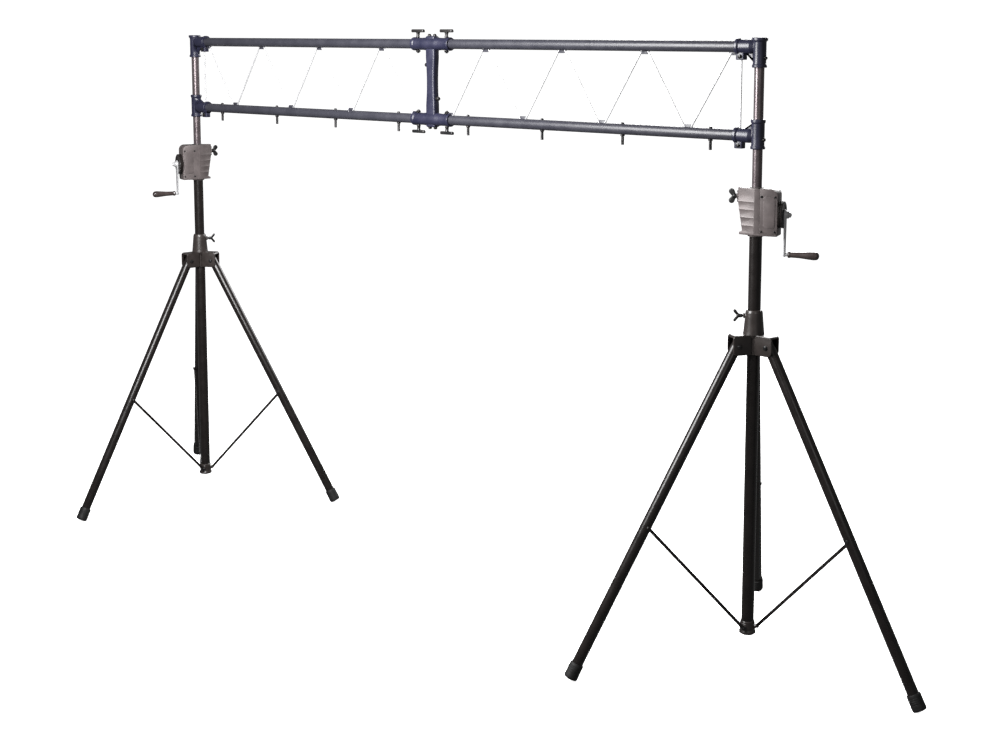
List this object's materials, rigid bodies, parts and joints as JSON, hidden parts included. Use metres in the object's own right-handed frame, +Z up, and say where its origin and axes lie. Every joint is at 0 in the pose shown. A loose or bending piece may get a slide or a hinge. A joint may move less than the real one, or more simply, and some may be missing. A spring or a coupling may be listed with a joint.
{
  "type": "crank lighting stand",
  "caption": "Two folding tripod stands with hand-cranked lifting masts that carry a flat laced truss for hanging stage lamps.",
  "frame": {"origin": "middle of the whole object's footprint, on the floor", "axes": "+X along the truss, towards the right stand; +Z up; -Y is the side the object is seen from"},
  "size_m": [4.3868, 1.328, 2.268],
  "materials": {
    "black_paint": "satin black powder coat",
    "mast_paint": "satin grey-black enamel",
    "truss_paint": "satin slate enamel",
    "bracket_paint": "textured navy-black powder coat",
    "winch_casting": "cast, warm grey, matt",
    "collar_casting": "cast, textured charcoal",
    "dark_steel": "blackened steel",
    "bright_steel": "zinc plated",
    "wire_rope": "galvanised wire rope",
    "black_plastic": "moulded, matt",
    "grip_plastic": "moulded brown-black",
    "nylon": "natural nylon",
    "foot_rubber": "moulded black rubber"
  },
  "bodies": {
    "right_base": {"right_column_tube": "black_paint", "right_brace_hub": "collar_casting", "right_winch_case": "winch_casting", "right_winch_cover": "winch_casting", "right_mast_bush": "nylon", "right_lift_cable": "wire_rope"},
    "truss": {"lacing_rods": "bright_steel", "junction_post": "bracket_paint", "junction_bolts": "dark_steel", "hanger_bolts": "dark_steel", "right_mast": "mast_paint", "right_end_brackets": "bracket_paint", "right_upper_chord": "truss_paint", "right_lower_chord": "truss_paint", "left_mast": "mast_paint", "left_end_brackets": "bracket_paint", "left_upper_chord": "truss_paint", "left_lower_chord": "truss_paint"},
    "left_base": {"left_column_tube": "black_paint", "left_brace_hub": "collar_casting", "left_winch_case": "winch_casting", "left_winch_cover": "winch_casting", "left_mast_bush": "nylon", "left_lift_cable": "wire_rope"},
    "right_crank": {"right_crank_shaft": "dark_steel", "right_crank_arm": "bright_steel"},
    "right_grip": {"right_crank_grip": "grip_plastic"},
    "right_drum": {"right_cable_drum": "dark_steel"},
    "right_mast_lock_knob": {"right_mast_lock": "black_plastic"},
    "right_collar": {"right_leg_collar": "collar_casting"},
    "right_wing_screw": {"right_collar_wing_screw": "dark_steel"},
    "right_leg_1": {"right_leg_1": "black_paint", "right_foot_1": "foot_rubber"},
    "right_brace_1": {"right_brace_1": "black_paint"},
    "right_leg_2": {"right_leg_2": "black_paint", "right_foot_2": "foot_rubber"},
    "right_brace_2": {"right_brace_2": "black_paint"},
    "right_leg_3": {"right_leg_3": "black_paint", "right_foot_3": "foot_rubber"},
    "right_brace_3": {"right_brace_3": "black_paint"},
    "left_crank": {"left_crank_shaft": "dark_steel", "left_crank_arm": "bright_steel"},
    "left_grip": {"left_crank_grip": "grip_plastic"},
    "left_drum": {"left_cable_drum": "dark_steel"},
    "left_mast_lock_knob": {"left_mast_lock": "black_plastic"},
    "left_collar": {"left_leg_collar": "collar_casting"},
    "left_wing_screw": {"left_collar_wing_screw": "dark_steel"},
    "left_leg_1": {"left_leg_1": "black_paint", "left_foot_1": "foot_rubber"},
    "left_brace_1": {"left_brace_1": "black_paint"},
    "left_leg_2": {"left_leg_2": "black_paint", "left_foot_2": "foot_rubber"},
    "left_brace_2": {"left_brace_2": "black_paint"},
    "left_leg_3": {"left_leg_3": "black_paint", "left_foot_3": "foot_rubber"},
    "left_brace_3": {"left_brace_3": "black_paint"},
    "right_upper_handle": {"right_upper_handle": "dark_steel"},
    "right_lower_handle": {"right_lower_handle": "dark_steel"},
    "left_upper_handle": {"left_upper_handle": "dark_steel"},
    "left_lower_handle": {"left_lower_handle": "dark_steel"}
  },
  "joints": [
    {"name": "lift", "type": "slide", "parent": "right_base", "child": "truss", "axis": [0, 0, 1], "range_m": [-0.13, 0.85], "deforming": ["right_lift_cable"]},
    {"name": "left_base_drop", "type": "slide", "parent": "truss", "child": "left_base", "axis": [0, 0, 1], "range_m": [-0.85, 0.13], "deforming": ["left_lift_cable"]},
    {"name": "right_crank_turn", "type": "hinge", "parent": "right_base", "child": "right_crank", "pos_m": [1.5658, 0.06441, 1.627], "axis": [0.9511, 0.309, 0], "range_deg": [-937.41, 6126.46]},
    {"name": "right_drum_turn", "type": "hinge", "parent": "right_base", "child": "right_drum", "pos_m": [1.51683, 0.0485, 1.6655], "axis": [0.9511, 0.309, 0], "range_deg": [-2297.74, 351.84]},
    {"name": "right_grip_spin", "type": "hinge", "parent": "right_crank", "child": "right_grip", "pos_m": [1.59719, 0.07461, 1.487], "axis": [0.9511, 0.309, 0], "continuous": true},
    {"name": "right_mast_lock_turn", "type": "hinge", "parent": "right_base", "child": "right_mast_lock_knob", "pos_m": [1.42695, 0.01929, 1.686], "axis": [-0.9511, -0.309, 0], "range_deg": [0, 540]},
    {"name": "right_fold", "type": "slide", "parent": "right_base", "child": "right_collar", "axis": [0, 0, 1], "range_m": [0, 0.23042]},
    {"name": "right_wing_screw_turn", "type": "hinge", "parent": "right_collar", "child": "right_wing_screw", "pos_m": [1.46266, 0.02273, 1.262], "axis": [-0.8387, -0.5446, 0], "range_deg": [0, 540]},
    {"name": "right_leg_1_swing", "type": "hinge", "parent": "right_collar", "child": "right_leg_1", "pos_m": [1.45683, 0.09735, 1.158], "axis": [-0.8829, -0.4695, 0], "range_deg": [0, 28.33]},
    {"name": "right_brace_1_swing", "type": "hinge", "parent": "right_base", "child": "right_brace_1", "pos_m": [1.45742, 0.05236, 0.118], "axis": [-0.8829, -0.4695, 0], "range_deg": [-38.35, 0]},
    {"name": "right_leg_2_swing", "type": "hinge", "parent": "right_collar", "child": "right_leg_2", "pos_m": [1.45284, -0.0169, 1.158], "axis": [0.848, -0.5299, 0], "range_deg": [0, 28.33]},
    {"name": "right_brace_2_swing", "type": "hinge", "parent": "right_base", "child": "right_brace_2", "pos_m": [1.49151, 0.00611, 0.118], "axis": [0.848, -0.5299, 0], "range_deg": [-38.35, 0]},
    {"name": "right_leg_3_swing", "type": "hinge", "parent": "right_collar", "child": "right_leg_3", "pos_m": [1.55378, 0.03677, 1.158], "axis": [0.0349, 0.9994, 0], "range_deg": [0, 28.33]},
    {"name": "right_brace_3_swing", "type": "hinge", "parent": "right_base", "child": "right_brace_3", "pos_m": [1.51452, 0.05875, 0.118], "axis": [0.0349, 0.9994, 0], "range_deg": [-38.35, 0]},
    {"name": "left_crank_turn", "type": "hinge", "parent": "left_base", "child": "left_crank", "pos_m": [-1.6429, -0.03696, 1.627], "axis": [-0.3746, -0.9272, 0], "range_deg": [-937.41, 6126.46]},
    {"name": "left_drum_turn", "type": "hinge", "parent": "left_base", "child": "left_drum", "pos_m": [-1.62361, 0.01079, 1.6655], "axis": [-0.3746, -0.9272, 0], "range_deg": [-2297.74, 351.84]},
    {"name": "left_grip_spin", "type": "hinge", "parent": "left_crank", "child": "left_grip", "pos_m": [-1.65526, -0.06756, 1.487], "axis": [-0.3746, -0.9272, 0], "continuous": true},
    {"name": "left_mast_lock_turn", "type": "hinge", "parent": "left_base", "child": "left_mast_lock_knob", "pos_m": [-1.58821, 0.09841, 1.686], "axis": [0.3746, 0.9272, 0], "range_deg": [0, 540]},
    {"name": "left_fold", "type": "slide", "parent": "left_base", "child": "left_collar", "axis": [0, 0, 1], "range_m": [0, 0.23042]},
    {"name": "left_wing_screw_turn", "type": "hinge", "parent": "left_collar", "child": "left_wing_screw", "pos_m": [-1.59413, 0.06303, 1.262], "axis": [0.6018, 0.7986, 0], "range_deg": [0, 540]},
    {"name": "left_leg_1_swing", "type": "hinge", "parent": "left_collar", "child": "left_leg_1", "pos_m": [-1.66625, 0.07693, 1.158], "axis": [-0.5736, -0.8192, 0], "range_deg": [0, 28.33]},
    {"name": "left_brace_1_swing", "type": "hinge", "parent": "left_base", "child": "left_brace_1", "pos_m": [-1.6453, 0.03711, 0.118], "axis": [-0.5736, -0.8192, 0], "range_deg": [-38.35, 0]},
    {"name": "left_leg_2_swing", "type": "hinge", "parent": "left_collar", "child": "left_leg_2", "pos_m": [-1.61793, -0.02668, 1.158], "axis": [0.9962, -0.0872, 0], "range_deg": [0, 28.33]},
    {"name": "left_brace_2_swing", "type": "hinge", "parent": "left_base", "child": "left_brace_2", "pos_m": [-1.59393, 0.01137, 0.118], "axis": [0.9962, -0.0872, 0], "range_deg": [-38.35, 0]},
    {"name": "left_leg_3_swing", "type": "hinge", "parent": "left_collar", "child": "left_leg_3", "pos_m": [-1.55237, 0.06696, 1.158], "axis": [-0.4226, 0.9063, 0], "range_deg": [0, 28.33]},
    {"name": "left_brace_3_swing", "type": "hinge", "parent": "left_base", "child": "left_brace_3", "pos_m": [-1.59732, 0.06873, 0.118], "axis": [-0.4226, 0.9063, 0], "range_deg": [-38.35, 0]},
    {"name": "right_upper_handle_turn", "type": "hinge", "parent": "truss", "child": "right_upper_handle", "pos_m": [0.01782, 0.03907, 2.208], "axis": [0, 0, 1], "range_deg": [0, 540]},
    {"name": "right_lower_handle_turn", "type": "hinge", "parent": "truss", "child": "right_lower_handle", "pos_m": [0.01782, 0.03907, 1.898], "axis": [0, 0, -1], "range_deg": [0, 540]},
    {"name": "left_upper_handle_turn", "type": "hinge", "parent": "truss", "child": "left_upper_handle", "pos_m": [-0.14218, 0.03907, 2.208], "axis": [0, 0, 1], "range_deg": [0, 540]},
    {"name": "left_lower_handle_turn", "type": "hinge", "parent": "truss", "child": "left_lower_handle", "pos_m": [-0.14218, 0.03907, 1.898], "axis": [0, 0, -1], "range_deg": [0, 540]}
  ],
  "couplings": [
    {"joint": "left_base_drop", "follows": "lift", "ratio": -1},
    {"joint": "right_crank_turn", "follows": "lift", "rad_per_m": 125.79},
    {"joint": "right_drum_turn", "follows": "lift", "rad_per_m": -47.17},
    {"joint": "right_leg_1_swing", "follows": "right_fold", "rad_per_m": 2.145},
    {"joint": "right_brace_1_swing", "follows": "right_fold", "rad_per_m": -2.9037},
    {"joint": "right_leg_2_swing", "follows": "right_fold", "rad_per_m": 2.145},
    {"joint": "right_brace_2_swing", "follows": "right_fold", "rad_per_m": -2.9037},
    {"joint": "right_leg_3_swing", "follows": "right_fold", "rad_per_m": 2.145},
    {"joint": "right_brace_3_swing", "follows": "right_fold", "rad_per_m": -2.9037},
    {"joint": "left_crank_turn", "follows": "lift", "rad_per_m": 125.79},
    {"joint": "left_drum_turn", "follows": "lift", "rad_per_m": -47.17},
    {"joint": "left_leg_1_swing", "follows": "left_fold", "rad_per_m": 2.145},
    {"joint": "left_brace_1_swing", "follows": "left_fold", "rad_per_m": -2.9037},
    {"joint": "left_leg_2_swing", "follows": "left_fold", "rad_per_m": 2.145},
    {"joint": "left_brace_2_swing", "follows": "left_fold", "rad_per_m": -2.9037},
    {"joint": "left_leg_3_swing", "follows": "left_fold", "rad_per_m": 2.145},
    {"joint": "left_brace_3_swing", "follows": "left_fold", "rad_per_m": -2.9037}
  ]
}
